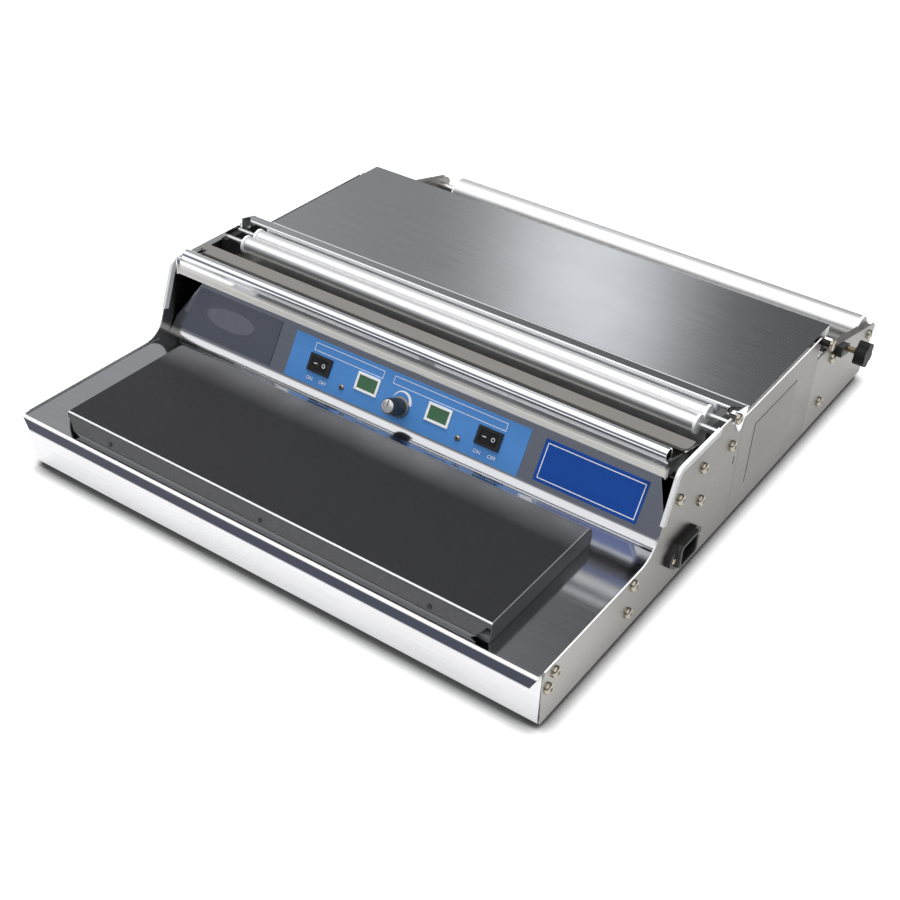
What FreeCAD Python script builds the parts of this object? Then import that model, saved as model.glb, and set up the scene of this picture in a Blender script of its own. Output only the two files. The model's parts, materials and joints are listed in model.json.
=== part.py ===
import FreeCAD, Part
import math
import os

# Film wrapping machine, in millimetres.
# Working frame: X to the machine's right from its middle plane, Y to the rear
# from the deck's front lip, Z up from the deck's top face. save() then moves
# every piece so that the origin is the middle of the footprint on the floor.

# Body
HALF_WIDTH = 242.5
SIDE_SHEET = 1.2
SHEET = 1.0
SIDE_BOTTOM = -47.0
SIDE_FLANGE = 14.2
FOOT_HEIGHT = 7.2
FOOT_RADIUS = 10.0
FOOT_INSET = 30.5
FOOT_FRONT_Y = 36.0
FOOT_REAR_GAP = 26.0
SEAM_FRONT_Y = 287.2
SEAM_REAR_Y = 436.4
SEAM_GAP = 0.4
SLOT_WIDTH = 1.6
SLOT_LENGTH = 8.0

# Deck and control panel
LIP_DROP = 12.0
LIP_CHAMFER = 6.0
DECK_BEND = 1.0
PANEL_ANGLE = 60.0
PANEL_Y = 170.0
PANEL_Z = 6.0
PANEL_BEND = 11.0
PANEL_TOP_S = 45.0
PANEL_LOW_S = 9.0
PANEL_TAPER = 0.484
DECK_EDGE = 0.8
DECK_SIDE_DROP = 16.0
FRONT_PANEL_Y = 6.0
BEND = 1.5

# Side plates
SIDE_TOP = 66.0
SIDE_FOOT_Y = 154.0
SIDE_BEND_Y = 177.0
SIDE_TOP_END_Y = 261.0
STRIP_SEAT_Z = 58.0
COVER_REST_Z = 47.0
COVER_WALL_Z = 52.4
REAR_TOP_Y = 452.0
REAR_TOP_Z = 31.0
REAR_TIP_REACH = 11.0
REAR_TIP_Z = -1.0
REAR_END_REACH = 15.0
REAR_END_Z = -6.0
REAR_FOOT_SETBACK = 2.0
REAR_WALL = 17.0
TRIM_START_Z = 24.5
TRIM_END_Y = 242.0
TRIM_WALL = 0.9
TRIM_DEPTH = 4.2

# Front shelf, hood and cutter
SHELF_TOP = 45.0
SHELF_FRONT_Y = 194.2
SHELF_REAR_Y = 285.0
HOOD_END_GAP = 8.3
BEAD_SETBACK = 9.0
BEAD_Y = 175.0
BEAD_Z = 77.0
BEAD_RADIUS = 5.0
HOOD_BASE_Z = 57.0
STRIP_END_GAP = 5.3
STRIP_FRONT_Y = 200.0
STRIP_WIDTH = 14.0
STRIP_TOP = 67.6
STRIP_THICK = 2.2
RIBBON_THICK = 0.3
RIBBON_WIDTH = 3.0

# Rollers
FRONT_ROLLER_RADIUS = 7.0
FRONT_ROLLER_RIGHT_GAP = 19.3
FRONT_ROLLER_LEFT_GAP = 25.8
FRONT_RIM_RADIUS = 7.8
FRONT_ROLLER_Y = 243.0
FRONT_ROLLER_PITCH = 16.0
FRONT_ROLLER_Z = 62.0
FRONT_SHAFT_RADIUS = 2.2
REAR_ROLLER_RADIUS = 15.0
REAR_ROLLER_RIGHT_GAP = 9.3
REAR_ROLLER_LEFT_GAP = 28.3
REAR_RIM_RADIUS = 14.6
REAR_ROLLER_Y = 573.0
REAR_ROLLER_Z = -8.0
CRADLE_PITCH = 86.0
REAR_SHAFT_RADIUS = 4.0
TUBE_WALL = 1.2
CAP_THICK = 2.4
RUNNING = 0.05
BRACKET_GAP = 5.9
BRACKET_LENGTH = 101.0

# Cover
COVER_SIDE_GAP = 2.3
COVER_FRONT_Y = 302.0
COVER_REAR_Y = 460.0
COVER_TOP = 53.0
PIVOT_Y = 440.0
PIVOT_Z = 47.0
PIVOT_RADIUS = 3.0
PIVOT_HEAD_PROUD = 7.5
PIVOT_HEAD_RADIUS = 5.2
PIVOT_HEAD_THICK = 2.2
POST_GAP = 7.8
POST_THICK = 2.5

# Cross strip with ears
CROSS_FRONT_Y = 268.5
CROSS_REAR_Y = 284.0
CROSS_TOP = 69.5
CROSS_REAR_TOP = 65.5
EAR_SCREW_Y = 270.0
EAR_SCREW_Z = 61.0

# Hot plate
PLATE_HALF = 198.0
PLATE_FRONT_Y = 10.0
PLATE_REAR_Y = 142.2
PLATE_TOP = 17.0
PLATE_SKIN = 1.2
PLATE_FOOT_Y = 5.8
PLATE_FOOT_Z = 5.0
PLATE_MITRE = 9.0
FRAME_INSET = 1.4
FRAME_TOP = 3.0
FRAME_BORDER = 98.0
BOARD_TOP = 13.0
BOARD_INSET = 4.0
ELEMENT_INSET = 8.0
PLATE_SCREW_X = 150.0
PLATE_SCREW_RISE = 3.2

# Controls
LABEL_THICK = 0.3
LABEL_HALF = 115.0
LABEL_TOP_S = 38.0
ROCKER_X = 83.2
ROCKER_S = 18.6
ROCKER_LENGTH = 22.0
ROCKER_WIDTH = 15.0
ROCKER_REST_TILT = 7.0
WINDOW_X = 35.0
WINDOW_S = 19.4
WINDOW_LENGTH = 22.3
WINDOW_WIDTH = 15.2
PANEL_SCREW_X = 57.3
PANEL_SCREW_S = 8.7
DIAL_S = 13.0
DIAL_RADIUS = 7.3
DIAL_SKIRT_RADIUS = 9.6
DIAL_SKIRT_TOP = 2.6
DIAL_HEIGHT = 20.2
DIAL_CAP_RADIUS = 5.6
DIAL_CAP_THICK = 0.8
SPINDLE_RADIUS = 3.0
RIGHT_LABEL_START = 128.3
RIGHT_LABEL_END = 217.4
LEFT_PLATE_END = -131.3
OVAL_GAP = 57.0
OVAL_S = 22.0
OVAL_HALF_LENGTH = 26.0
OVAL_HALF_WIDTH = 8.5
RATING_FRONT_Y = 314.0
RATING_REAR_Y = 395.0
RATING_LOW_Z = -16.0
RATING_HIGH_Z = 32.0

# Inlet, clamp knob and screws
INLET_Y = 204.0
INLET_Z = -19.5
INLET_SCREW_REACH = 20.0
INLET_PROUD = 4.0
STUD_Y = 497.0
STUD_Z = 15.5
STUD_RADIUS = 2.6
STAR_STANDOFF = 14.5
STAR_THICK = 10.0
STAR_RADIUS = 11.4
STAR_GROOVE = 2.4
STAR_LOBES = 6
SCREW_HEAD_RADIUS = 4.6
SCREW_HEAD_HEIGHT = 3.0

# Inside the body
TRANSFORMER_GAP = 81.3
TRANSFORMER_Y = 230.0
CORE_HALF_LENGTH = 30.0
CORE_HALF_DEPTH = 25.0
CORE_HEIGHT = 46.0
CORE_LIMB = 10.0
COIL_HALF_LENGTH = 18.0
COIL_HALF_DEPTH = 32.0
CONTROL_HALF_LENGTH = 60.0
CONTROL_FRONT_Y = 190.0
CONTROL_REAR_Y = 260.0
CONTROL_RISE = 12.0
CONTROL_THICK = 2.0
PILLAR_INSET = 8.0
PILLAR_HALF = 3.0

# Flat sides of small round pieces
HEAD_SIDES = 12
ROUND_SIDES = 24

# Derived places
INNER_FACE = HALF_WIDTH - SIDE_SHEET
FOOT_X = HALF_WIDTH - FOOT_INSET
PANEL_LOW_HALF = INNER_FACE - COVER_SIDE_GAP
HOOD_HALF = INNER_FACE - HOOD_END_GAP
STRIP_HALF = INNER_FACE - STRIP_END_GAP
FRONT_RIGHT_X = INNER_FACE - FRONT_ROLLER_RIGHT_GAP
FRONT_LEFT_X = INNER_FACE - FRONT_ROLLER_LEFT_GAP
REAR_RIGHT_X = INNER_FACE - REAR_ROLLER_RIGHT_GAP
REAR_LEFT_X = INNER_FACE - REAR_ROLLER_LEFT_GAP
BRACKET_X = INNER_FACE - BRACKET_GAP
COVER_HALF = INNER_FACE - COVER_SIDE_GAP
POST_X = INNER_FACE - POST_GAP
FRAME_HALF = PLATE_HALF - FRAME_INSET
REAR_TIP_Y = REAR_ROLLER_Y + REAR_TIP_REACH
REAR_END_Y = REAR_ROLLER_Y + REAR_END_REACH
REAR_FOOT_Y = REAR_ROLLER_Y - REAR_FOOT_SETBACK
FOOT_REAR_Y = REAR_FOOT_Y - FOOT_REAR_GAP
OVAL_X = -(PANEL_LOW_HALF - OVAL_GAP)
TRANSFORMER_X = -(INNER_FACE - TRANSFORMER_GAP)
STAR_FRONT_X = HALF_WIDTH + STAR_STANDOFF
FLOOR_Z = SIDE_BOTTOM + SIDE_SHEET - FOOT_HEIGHT
PAN_BOTTOM = SIDE_BOTTOM + SIDE_SHEET
PAN_TOP = PAN_BOTTOM + SHEET
SLOPE = math.radians(PANEL_ANGLE)
PANEL_ROOT_Y = PANEL_Y - PANEL_Z / math.tan(SLOPE)
PANEL_END_Y = PANEL_Y + PANEL_TOP_S * math.cos(SLOPE)
PANEL_END_Z = PANEL_Z + PANEL_TOP_S * math.sin(SLOPE)
REAR_SLOPE = (REAR_TIP_Z - REAR_TOP_Z) / (REAR_TIP_Y - REAR_TOP_Y)
STAR_END_X = STAR_FRONT_X + STAR_THICK
LEFT_END_X = -(HALF_WIDTH + SIDE_SHEET + SCREW_HEAD_HEIGHT)
MOVE_X = -(STAR_END_X + LEFT_END_X) / 2
MOVE_Y = -REAR_END_Y / 2
MOVE_Z = -FLOOR_Z


def vec(x, y, z):
    return FreeCAD.Vector(x, y, z)


def box(x0, x1, y0, y1, z0, z1):
    return Part.makeBox(x1 - x0, y1 - y0, z1 - z0, vec(x0, y0, z0))


def rod_x(x0, x1, y, z, radius):
    return Part.makeCylinder(radius, x1 - x0, vec(x0, y, z), vec(1, 0, 0))


def rod_z(x, y, z0, z1, radius):
    return Part.makeCylinder(radius, z1 - z0, vec(x, y, z0), vec(0, 0, 1))


def flip(shape):
    return shape.mirror(vec(0, 0, 0), vec(1, 0, 0))


def both(shape):
    return Part.makeCompound([shape, flip(shape)])


def round_corner(before, here, after, radius):
    a = (before - here).normalize()
    b = (after - here).normalize()
    half = a.getAngle(b) / 2
    inward = (a + b).normalize()
    centre = here + inward * (radius / math.sin(half))
    run = radius / math.tan(half)
    return here + a * run, centre - inward * radius, here + b * run


def loop_wire(points, radii):
    edges = []
    first = None
    last = None
    count = len(points)
    for i in range(count):
        here = points[i]
        if radii[i] > 0:
            start, middle, end = round_corner(points[i - 1], here, points[(i + 1) % count], radii[i])
        else:
            start, middle, end = here, None, here
        if last is not None and last.distanceToPoint(start) > 1e-6:
            edges.append(Part.makeLine(last, start))
        if middle is not None:
            edges.append(Part.Arc(start, middle, end).toShape())
        if first is None:
            first = start
        last = end
    if last.distanceToPoint(first) > 1e-6:
        edges.append(Part.makeLine(last, first))
    return Part.Wire(edges)


def slab_x(outline, radii, x0, x1):
    points = [vec(x0, y, z) for y, z in outline]
    return Part.Face(loop_wire(points, radii)).extrude(vec(x1 - x0, 0, 0))


def slab_y(outline, radii, y0, y1):
    points = [vec(x, y0, z) for x, z in outline]
    return Part.Face(loop_wire(points, radii)).extrude(vec(0, y1 - y0, 0))


def slab_z(outline, radii, z0, z1):
    points = [vec(x, y, z0) for x, y in outline]
    return Part.Face(loop_wire(points, radii)).extrude(vec(0, 0, z1 - z0))


def square(outline):
    return [0.0] * len(outline)


def offset_path(path, side):
    # A parallel path at the given distance, to the left for positive values.
    normals = []
    for i in range(len(path) - 1):
        dy = path[i + 1][0] - path[i][0]
        dz = path[i + 1][1] - path[i][1]
        size = math.hypot(dy, dz)
        normals.append((-dz / size, dy / size))
    result = []
    for i in range(len(path)):
        n0 = normals[max(i - 1, 0)]
        n1 = normals[min(i, len(normals) - 1)]
        dot = 1 + n0[0] * n1[0] + n0[1] * n1[1]
        result.append((path[i][0] + side * (n0[0] + n1[0]) / dot, path[i][1] + side * (n0[1] + n1[1]) / dot))
    return result


def ribbon(path, left, right, bends, x0, x1):
    # Sheet of constant thickness along a path; bends are inner radii.
    one = offset_path(path, left)
    two = offset_path(path, -right)
    thick = left + right
    radii_one = [0.0]
    radii_two = [0.0]
    for i in range(1, len(path) - 1):
        ay = path[i][0] - path[i - 1][0]
        az = path[i][1] - path[i - 1][1]
        by = path[i + 1][0] - path[i][0]
        bz = path[i + 1][1] - path[i][1]
        turns_left = ay * bz - az * by > 0
        inner = bends[i - 1]
        radii_one.append(inner if turns_left else inner + thick)
        radii_two.append(inner + thick if turns_left else inner)
    radii_one.append(0.0)
    radii_two.append(0.0)
    return slab_x(one + two[::-1], radii_one + radii_two[::-1], x0, x1)


def on_panel(shape, x, s):
    # From a local frame (X right, Y up the slope, Z outward) to the panel face.
    turned = shape.copy()
    turned.rotate(vec(0, 0, 0), vec(1, 0, 0), PANEL_ANGLE)
    turned.translate(vec(x, PANEL_Y + s * math.cos(SLOPE), PANEL_Z + s * math.sin(SLOPE)))
    return turned


def pair_on_panel(shape, x, s):
    return Part.makeCompound([on_panel(shape, -x, s), on_panel(shape, x, s)])


def block(length, width, z0, z1):
    return box(-length / 2, length / 2, -width / 2, width / 2, z0, z1)


def save(name, shape):
    moved = shape.copy()
    moved.translate(vec(MOVE_X, MOVE_Y, MOVE_Z))
    moved.exportStep("parts/" + name + ".step")


def front_screw_places():
    return [(21, -8), (13, -17), (124, -30), (127, -6), (186, 35), (226, 10), (221, 43), (271, 35)]


def rear_screw_places():
    return [(476, 13.5), (465.5, -26)]


def many_sided(radius, sides):
    # Corner points of a small round piece, drawn with few flat sides.
    points = []
    for i in range(sides):
        turn = 2 * math.pi * i / sides
        points.append((radius * math.cos(turn), radius * math.sin(turn)))
    return points


def head_x(x0, x1, y, z, radius):
    points = [(y + a, z + b) for a, b in many_sided(radius, HEAD_SIDES)]
    return slab_x(points, square(points), x0, x1)


def head_z(z0, z1, radius, sides):
    points = many_sided(radius, sides)
    return slab_z(points, square(points), z0, z1)


def base_pan():
    rear = REAR_FOOT_Y - 1
    path = [(FRONT_PANEL_Y + SHEET + BEND, PAN_BOTTOM), (rear, PAN_BOTTOM), (rear, PAN_TOP + REAR_WALL)]
    pan = ribbon(path, SHEET, 0, [BEND], -INNER_FACE, INNER_FACE)
    for row in range(2):
        for column in range(5):
            x = -120 + column * 60
            y = 60 + row * 110
            pan = pan.cut(box(x - 20, x + 20, y, y + 4, PAN_BOTTOM - 1, PAN_TOP + 1))
    return pan


def front_panel():
    low = PAN_BOTTOM - SHEET
    path = [(FRONT_PANEL_Y, -SHEET), (FRONT_PANEL_Y, low), (FRONT_PANEL_Y + 18, low)]
    half = INNER_FACE - 0.2
    panel = ribbon(path, SHEET, 0, [BEND], -half, half)
    clear_x = HALF_WIDTH - SIDE_FLANGE - 0.2
    corner = box(clear_x, half + 1, FRONT_PANEL_Y + SHEET, FRONT_PANEL_Y + 20, low - 1, -40)
    return panel.cut(corner).cut(flip(corner))


def deck_panel():
    path = [(0, -LIP_DROP), (0, 0), (PANEL_ROOT_Y, 0), (PANEL_END_Y, PANEL_END_Z)]
    deck = ribbon(path, 0, SHEET, [DECK_BEND, PANEL_BEND], -INNER_FACE, INNER_FACE)
    high = PANEL_Z + PANEL_LOW_S * math.sin(SLOPE)
    top_half = PANEL_LOW_HALF - (PANEL_TOP_S - PANEL_LOW_S) * PANEL_TAPER
    out = HALF_WIDTH + 5
    side = [(INNER_FACE, 1), (PANEL_LOW_HALF, high), (top_half, PANEL_END_Z + 1)]
    side += [(out, PANEL_END_Z + 1), (out, 1)]
    wedge = slab_y(side, square(side), PANEL_ROOT_Y - 12, PANEL_END_Y + 5)
    low = -LIP_DROP - 0.5
    lip = [(INNER_FACE - 0.3, -1.2), (INNER_FACE - LIP_CHAMFER, low), (out, low), (out, -1.2)]
    chamfer = slab_y(lip, square(lip), -1, SHEET + 1)
    edge = box(INNER_FACE - 1.1, INNER_FACE, 3, PANEL_ROOT_Y - 14, -SHEET / 2, DECK_EDGE)
    drop = box(INNER_FACE - SHEET, INNER_FACE, 10, PANEL_ROOT_Y - 14, -DECK_SIDE_DROP, -SHEET / 2)
    for piece in (wedge, chamfer):
        deck = deck.cut(piece).cut(flip(piece))
    for piece in (edge, drop):
        deck = deck.fuse(piece).fuse(flip(piece))
    for x in (-ROCKER_X, ROCKER_X):
        deck = deck.cut(on_panel(block(ROCKER_LENGTH - 2, ROCKER_WIDTH - 2, -5, 5), x, ROCKER_S))
    for x in (-WINDOW_X, WINDOW_X):
        deck = deck.cut(on_panel(block(WINDOW_LENGTH - 2, WINDOW_WIDTH - 2, -5, 5), x, WINDOW_S))
    deck = deck.cut(on_panel(rod_z(0, 0, -5, 5, SPINDLE_RADIUS + 1), 0, DIAL_S))
    return deck.removeSplitter()


def side_path():
    return [(SIDE_FOOT_Y, 1.2), (SIDE_BEND_Y, SIDE_TOP), (SIDE_TOP_END_Y, SIDE_TOP)]


def side_plate():
    outline = [(6, -8), (7.5, 1.2)] + side_path()
    outline += [(SIDE_TOP_END_Y + 3, STRIP_SEAT_Z), (SEAM_FRONT_Y, STRIP_SEAT_Z)]
    outline += [(SEAM_FRONT_Y, SIDE_BOTTOM), (8, SIDE_BOTTOM)]
    radii = [0, 1.0, 24.0, 8.0, 3.0, 1.0, 0, 0, 0]
    plate = slab_x(outline, radii, INNER_FACE, HALF_WIDTH)
    flange = box(HALF_WIDTH - SIDE_FLANGE, HALF_WIDTH, 8, SEAM_FRONT_Y, SIDE_BOTTOM, PAN_BOTTOM)
    low = 16 - SLOT_LENGTH / 2
    vent = box(INNER_FACE - 1, HALF_WIDTH + 1, 279.6, 279.6 + SLOT_WIDTH, low, low + SLOT_LENGTH)
    return plate.fuse(flange).removeSplitter().cut(vent)


def side_plate_right():
    hole = box(INNER_FACE - 1, HALF_WIDTH + 1, INLET_Y - 14, INLET_Y + 14, INLET_Z - 10, INLET_Z + 10)
    return side_plate().cut(hole)


def side_cover():
    front = SEAM_FRONT_Y + SEAM_GAP
    rear = SEAM_REAR_Y - SEAM_GAP
    plate = box(INNER_FACE, HALF_WIDTH, front, rear, SIDE_BOTTOM, COVER_WALL_Z)
    low = box(HALF_WIDTH - SIDE_FLANGE, HALF_WIDTH, front, rear, SIDE_BOTTOM, PAN_BOTTOM)
    top = box(HALF_WIDTH - SIDE_FLANGE, HALF_WIDTH, front + 6, 424, COVER_REST_Z - SIDE_SHEET, COVER_REST_Z)
    base = -21 - SLOT_LENGTH / 2
    vent = box(INNER_FACE - 1, HALF_WIDTH + 1, 313, 313 + SLOT_WIDTH, base, base + SLOT_LENGTH)
    return plate.fuse(low).fuse(top).removeSplitter().cut(vent)


def slope_z(y):
    return REAR_TOP_Z + (y - REAR_TOP_Y) * REAR_SLOPE


def rear_side():
    outline = [(SEAM_REAR_Y, SIDE_BOTTOM), (SEAM_REAR_Y, REAR_TOP_Z), (REAR_TOP_Y, REAR_TOP_Z)]
    outline += [(REAR_TIP_Y, REAR_TIP_Z), (REAR_END_Y, REAR_END_Z), (REAR_FOOT_Y, SIDE_BOTTOM)]
    plate = slab_x(outline, [0, 1, 2, 3, 2, 0], INNER_FACE, HALF_WIDTH)
    low = box(HALF_WIDTH - SIDE_FLANGE, HALF_WIDTH, SEAM_REAR_Y, REAR_FOOT_Y, SIDE_BOTTOM, PAN_BOTTOM)
    start = REAR_TOP_Y + 11
    end = REAR_TIP_Y - 8
    strip = [(start, slope_z(start)), (end, slope_z(end))]
    strip += [(end, slope_z(end) - SIDE_SHEET), (start, slope_z(start) - SIDE_SHEET)]
    turned = slab_x(strip, square(strip), BRACKET_X + SIDE_SHEET, HALF_WIDTH)
    return plate.fuse(low).fuse(turned).removeSplitter()


def rear_side_right():
    return rear_side().cut(rod_x(INNER_FACE - 1, HALF_WIDTH + 1, STUD_Y, STUD_Z, STUD_RADIUS + RUNNING))


def edge_trim():
    rise = (SIDE_BEND_Y - SIDE_FOOT_Y) / (SIDE_TOP - 1.2)
    start = (SIDE_FOOT_Y + (TRIM_START_Z - 1.2) * rise, TRIM_START_Z)
    path = [start, (SIDE_BEND_Y, SIDE_TOP), (TRIM_END_Y, SIDE_TOP)]
    bends = [8 - TRIM_DEPTH]
    trim = ribbon(path, TRIM_WALL, TRIM_DEPTH, bends, INNER_FACE - TRIM_WALL, HALF_WIDTH + TRIM_WALL)
    return trim.cut(side_plate())


def roller_shelf():
    path = [(SHELF_FRONT_Y, SHELF_TOP), (SHELF_REAR_Y, SHELF_TOP), (SHELF_REAR_Y, PAN_TOP)]
    return ribbon(path, 0, SHEET, [1.5], -INNER_FACE, INNER_FACE)


def hood():
    bead_left = HOOD_HALF - BEAD_SETBACK
    bead = rod_x(-bead_left, HOOD_HALF, BEAD_Y, BEAD_Z, BEAD_RADIUS)
    front = BEAD_Y - BEAD_RADIUS
    path = [(front + 0.8, BEAD_Z - 2), (front + 4.2, BEAD_Z - 7), (front + 4.6, BEAD_Z - 14)]
    path += [(front + 2.4, HOOD_BASE_Z), (front + 10.5, HOOD_BASE_Z - 1.5)]
    band = ribbon(path, SHEET, 0, [4, 6, 0.6], -HOOD_HALF, HOOD_HALF)
    low = BEAD_Z - 11
    strip = [(BEAD_Y + 2, BEAD_Z), (BEAD_Y + 5, BEAD_Z), (BEAD_Y + 6, low), (BEAD_Y + 5, low)]
    back = slab_x(strip, square(strip), -bead_left, HOOD_HALF)
    core = rod_x(-HOOD_HALF - 1, HOOD_HALF + 1, BEAD_Y, BEAD_Z, BEAD_RADIUS - 1)
    return bead.fuse(band).fuse(back).cut(core).removeSplitter()


def hood_bracket():
    low = HOOD_BASE_Z - 0.5
    rear = STRIP_FRONT_Y + 26
    outline = [(BEAD_Y - 2, low), (BEAD_Y - 2.4, BEAD_Z - 5.5), (BEAD_Y + 4, BEAD_Z - 7)]
    outline += [(rear - 9, low + 3.5), (rear, low + 1), (rear, SHELF_TOP), (rear - 30, SHELF_TOP)]
    outline.append((BEAD_Y + 12, low))
    plate = slab_x(outline, [0, 1, 0, 0, 2, 0, 0, 0], HOOD_HALF, HOOD_HALF + 1.2)
    foot = box(HOOD_HALF, INNER_FACE, rear - 28, rear, SHELF_TOP, SHELF_TOP + 1.2)
    return plate.fuse(foot).removeSplitter()


def cutter_strip():
    low = STRIP_TOP - STRIP_THICK
    rear = STRIP_FRONT_Y + STRIP_WIDTH
    outline = [(-STRIP_HALF, STRIP_FRONT_Y), (STRIP_HALF, STRIP_FRONT_Y)]
    outline += [(STRIP_HALF, rear), (-STRIP_HALF, rear)]
    strip = slab_z(outline, [0.5, 6, 0.5, 0.5], low, STRIP_TOP)
    front = STRIP_FRONT_Y
    notch = box(-STRIP_HALF - 1, -STRIP_HALF + 8, front - 1, front + 5, low - 1, STRIP_TOP + 1)
    return strip.cut(notch)


def ribbon_top():
    return STRIP_TOP - STRIP_THICK


def heater_ribbon():
    middle = STRIP_FRONT_Y + STRIP_WIDTH / 2
    top = ribbon_top()
    half = STRIP_HALF - 14
    return box(-half, half, middle - RIBBON_WIDTH / 2, middle + RIBBON_WIDTH / 2, top - RIBBON_THICK, top)


def cutter_bar():
    top = ribbon_top() - RIBBON_THICK
    half = STRIP_HALF - 6
    front = STRIP_FRONT_Y + 2
    bar = box(-half, half, front, front + 10, SHELF_TOP, top)
    relief = box(-half - 1, half + 1, front - 1, front + 2, SHELF_TOP + 3, top - 6)
    return bar.cut(relief)


def cutter_terminal():
    rear = STRIP_FRONT_Y + 1.8
    front = STRIP_FRONT_Y - 13
    step = SHELF_FRONT_Y + 0.4
    high = SHELF_TOP + 15
    low = SHELF_TOP + 2.5
    outline = [(front, high), (front, low), (step, low), (step, SHELF_TOP), (rear, SHELF_TOP), (rear, high)]
    outer = STRIP_HALF - 6
    terminal = slab_x(outline, [1, 0, 0, 0, 0, 0], outer - 20, outer)
    return terminal.cut(box(outer - 11, outer - 9, front - 1, STRIP_FRONT_Y, SHELF_TOP + 7, high + 1))


def front_roller_block():
    inner = HOOD_HALF + 1
    rear = FRONT_ROLLER_Y + FRONT_ROLLER_PITCH + 7
    seat = box(inner, INNER_FACE - TRIM_WALL, FRONT_ROLLER_Y - 7, rear, SHELF_TOP, FRONT_ROLLER_Z + 1)
    for i in range(2):
        y = FRONT_ROLLER_Y + i * FRONT_ROLLER_PITCH
        seat = seat.cut(rod_x(inner - 1, INNER_FACE + 1, y, FRONT_ROLLER_Z, FRONT_SHAFT_RADIUS))
        low = y - FRONT_SHAFT_RADIUS
        high = y + FRONT_SHAFT_RADIUS
        seat = seat.cut(box(inner - 1, INNER_FACE + 1, low, high, FRONT_ROLLER_Z, FRONT_ROLLER_Z + 2))
    return seat


def roller_tube(y, z, radius, left, right, bore):
    tube = rod_x(-left, right, y, z, radius)
    return tube.cut(rod_x(-left - 1, right + 1, y, z, bore))


def rear_tube(y, bore):
    return roller_tube(y, REAR_ROLLER_Z, REAR_ROLLER_RADIUS, REAR_LEFT_X, REAR_RIGHT_X, bore)


def roller_cap(y, z, end, rim, bore):
    cap = rod_x(end, end + CAP_THICK, y, z, rim)
    return cap.cut(rod_x(end - 1, end + CAP_THICK + 1, y, z, bore + RUNNING))


def front_caps(y):
    right = roller_cap(y, FRONT_ROLLER_Z, FRONT_RIGHT_X, FRONT_RIM_RADIUS, FRONT_SHAFT_RADIUS)
    left = roller_cap(y, FRONT_ROLLER_Z, FRONT_LEFT_X, FRONT_RIM_RADIUS, FRONT_SHAFT_RADIUS)
    return Part.makeCompound([right, flip(left)])


def rear_caps():
    right = roller_cap(REAR_ROLLER_Y, REAR_ROLLER_Z, REAR_RIGHT_X, REAR_RIM_RADIUS, REAR_SHAFT_RADIUS)
    left = roller_cap(REAR_ROLLER_Y, REAR_ROLLER_Z, REAR_LEFT_X, REAR_RIM_RADIUS, REAR_SHAFT_RADIUS)
    return Part.makeCompound([right, flip(left)])


def cross_strip():
    path = [(CROSS_FRONT_Y, STRIP_SEAT_Z), (CROSS_FRONT_Y, CROSS_TOP)]
    path += [(CROSS_REAR_Y, CROSS_REAR_TOP), (CROSS_REAR_Y, STRIP_SEAT_Z)]
    strip = ribbon(path, 0, SHEET, [0.8, 0.8], -HALF_WIDTH, HALF_WIDTH)
    near = INNER_FACE - 7.3
    out = HALF_WIDTH + 1
    wedge = [(near, CROSS_FRONT_Y - 1), (out, CROSS_FRONT_Y - 1), (out, CROSS_FRONT_Y + 9)]
    corner = slab_z(wedge, square(wedge), STRIP_SEAT_Z - 8, CROSS_TOP + 20)
    strip = strip.cut(corner).cut(flip(corner))
    foot = EAR_SCREW_Z - 15
    outline = [(CROSS_FRONT_Y - 2.5, CROSS_TOP), (CROSS_REAR_Y, CROSS_REAR_TOP)]
    outline += [(CROSS_REAR_Y + 3, EAR_SCREW_Z + 1), (EAR_SCREW_Y + 10, foot), (EAR_SCREW_Y + 5.5, foot)]
    outline.append((EAR_SCREW_Y - 5, EAR_SCREW_Z - 1))
    ear = slab_x(outline, [1, 0, 1, 1.5, 1.5, 3], HALF_WIDTH, HALF_WIDTH + SIDE_SHEET)
    return strip.fuse(ear).fuse(flip(ear)).removeSplitter()


def cover_plate():
    under = COVER_TOP - SHEET
    path = [(COVER_FRONT_Y, COVER_REST_Z), (COVER_FRONT_Y, COVER_TOP), (COVER_REAR_Y, COVER_TOP)]
    top = ribbon(path, 0, SHEET, [0.8], -COVER_HALF, COVER_HALF)
    front = COVER_FRONT_Y + 0.5
    high = under + 0.5
    ear_low = PIVOT_Z - 7
    outline = [(front, high), (front, COVER_REST_Z), (PIVOT_Y - 15, COVER_REST_Z), (PIVOT_Y - 9, ear_low)]
    outline += [(PIVOT_Y + 9, ear_low), (COVER_REAR_Y, PIVOT_Z - 1), (COVER_REAR_Y, high)]
    inner = COVER_HALF - SHEET
    flange = slab_x(outline, [0, 0, 2, 4, 4, 3, 0], inner, COVER_HALF)
    flange = flange.cut(rod_x(inner - 5, COVER_HALF + 5, PIVOT_Y, PIVOT_Z, PIVOT_RADIUS + RUNNING))
    slot = box(inner - 5, COVER_HALF + 5, PIVOT_Y, PIVOT_Y + 2.6, PIVOT_Z, under - 0.6)
    flange = flange.cut(slot)
    return top.fuse(flange).fuse(flip(flange)).removeSplitter()


def cover_post():
    front = PIVOT_Y - 10
    rear = PIVOT_Y + 3
    waist = PIVOT_Z - 1
    outline = [(front, PAN_TOP), (rear, PAN_TOP), (rear + 0.6, waist), (rear - 0.4, PIVOT_Z + 3.4)]
    outline += [(PIVOT_Y - 2.6, PIVOT_Z + 4), (PIVOT_Y - 7, waist)]
    post = slab_x(outline, [0, 0, 1, 1.5, 2, 4], POST_X, POST_X + POST_THICK)
    foot = box(POST_X - 12, POST_X, front, rear, PAN_TOP, PAN_TOP + POST_THICK)
    post = post.fuse(foot).removeSplitter()
    return post.cut(rod_x(POST_X - 1, POST_X + POST_THICK + 1, PIVOT_Y, PIVOT_Z, PIVOT_RADIUS))


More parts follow.
